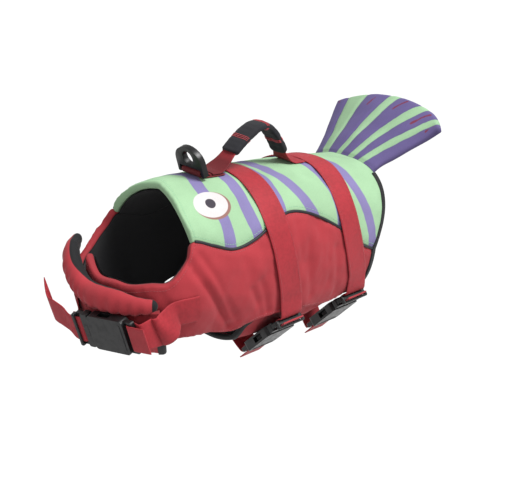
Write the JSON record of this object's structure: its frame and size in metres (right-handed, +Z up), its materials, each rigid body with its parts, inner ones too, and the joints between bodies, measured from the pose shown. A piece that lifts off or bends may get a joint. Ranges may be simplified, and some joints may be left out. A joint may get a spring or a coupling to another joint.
{
  "type": "dog life jacket",
  "caption": "Padded dog life jacket with a wrap-round chest flap, body straps with side-release buckles, a lifting handle, a leash ring and a tail fin.",
  "frame": {"origin": "on the inner face of the back's lining, on the ridge midway between the two body straps, where the jacket rests on the wearer's back", "axes": "+X from the neck to the tail, +Y to the wearer's right, +Z up from the wearer's back"},
  "size_m": [0.5177, 0.1888, 0.2933],
  "materials": {
    "red_shell": "matt woven polyester",
    "green_shell": "matt woven polyester",
    "purple_shell": "matt woven polyester",
    "black_lining": "matt mesh lining",
    "black_binding": "ribbed binding tape",
    "grey_piping": "satin cord piping",
    "red_webbing": "ribbed flat webbing",
    "black_plastic": "fine moulded grain"
  },
  "bodies": {
    "jacket": {"back_panel": "green_shell", "side_panel_left": "red_shell", "side_panel_right": "red_shell", "back_lining": "black_lining", "side_lining_left": "black_lining", "side_lining_right": "black_lining", "chest_roll": "red_shell", "belly_panel": "red_shell", "belly_lining": "black_lining", "rear_tape_left": "black_binding", "rear_tape_right": "black_binding", "belly_front_tape": "black_binding", "flap_end_tape": "black_binding", "seam_piping_left": "grey_piping", "seam_piping_right": "grey_piping", "buckle_front_socket": "black_plastic", "buckle_front_plug": "black_plastic", "strap_front": "red_webbing", "buckle_rear_socket": "black_plastic", "buckle_rear_plug": "black_plastic", "strap_rear": "red_webbing", "buckle_neck_socket": "black_plastic", "buckle_neck_plug": "black_plastic", "neck_webbing_left": "red_webbing", "neck_webbing_right": "red_webbing", "handle_webbing": "red_webbing", "handle_grip": "black_binding", "ring_tab": "red_webbing", "tail_fin": "purple_shell"},
    "leash_ring_body": {"leash_ring": "black_plastic"}
  },
  "joints": [
    {"name": "leash_ring_hinge", "type": "hinge", "parent": "jacket", "child": "leash_ring_body", "pos_m": [-0.126, 0, 0.03038], "axis": [0, 1, 0], "range_deg": [-60, 26]}
  ]
}
